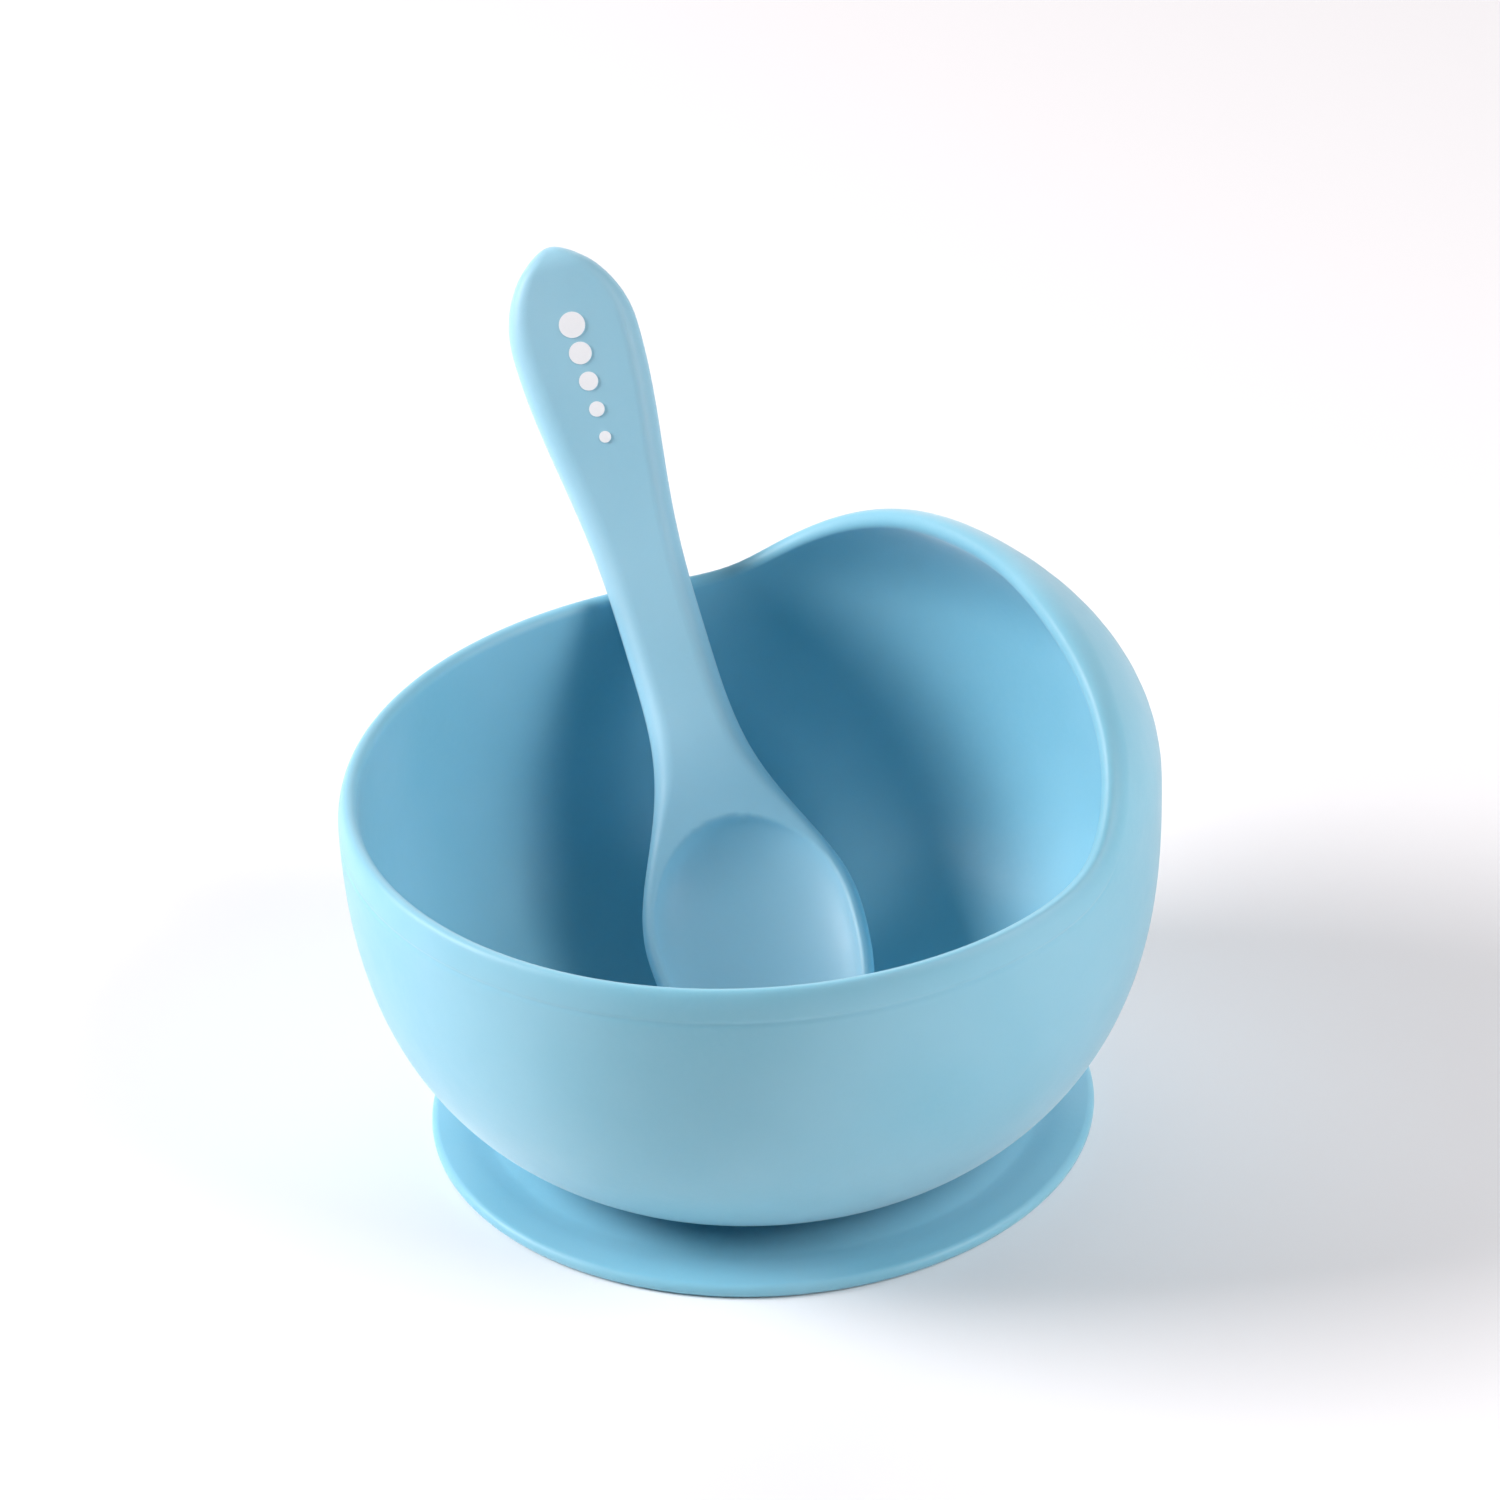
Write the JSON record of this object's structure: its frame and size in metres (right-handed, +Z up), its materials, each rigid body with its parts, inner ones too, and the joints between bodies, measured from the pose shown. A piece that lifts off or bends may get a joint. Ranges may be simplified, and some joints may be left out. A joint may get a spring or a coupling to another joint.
{
  "type": "suction bowl",
  "caption": "Soft round feeding bowl with a tall leaning scoop wall on a suction base, with a paddle-handled spoon resting in it.",
  "frame": {"origin": "centre of the suction base, on the table surface", "axes": "+Z up; -Y towards the low front rim; the tall scoop wall is at the back right, between +X and +Y"},
  "size_m": [0.125, 0.1499, 0.1097],
  "materials": {
    "blue_silicone": "soft matte food-grade silicone, pale blue",
    "spoon_silicone": "soft matte food-grade silicone, pale blue",
    "stiffener_nylon": "natural moulded nylon, sealed inside the spoon",
    "white_ink": "white silicone ink print"
  },
  "bodies": {
    "suction_lip": {"sealing_lip": "blue_silicone", "suction_skirt": "blue_silicone"},
    "bowl": {"bowl_shell": "blue_silicone", "base_hub": "blue_silicone"},
    "spoon": {"spoon_body": "spoon_silicone", "spoon_core": "stiffener_nylon", "spoon_print": "white_ink"}
  },
  "joints": [
    {"name": "press_down", "type": "slide", "parent": "suction_lip", "child": "bowl", "axis": [0, 0, -1], "range_m": [0, 0.0015], "stiffness_N_per_m": 7000, "deforming": ["suction_skirt"]},
    {"name": "spoon_lift", "type": "slide", "parent": "bowl", "child": "spoon", "axis": [0, 0, 1], "range_m": [0, 0.09]}
  ]
}
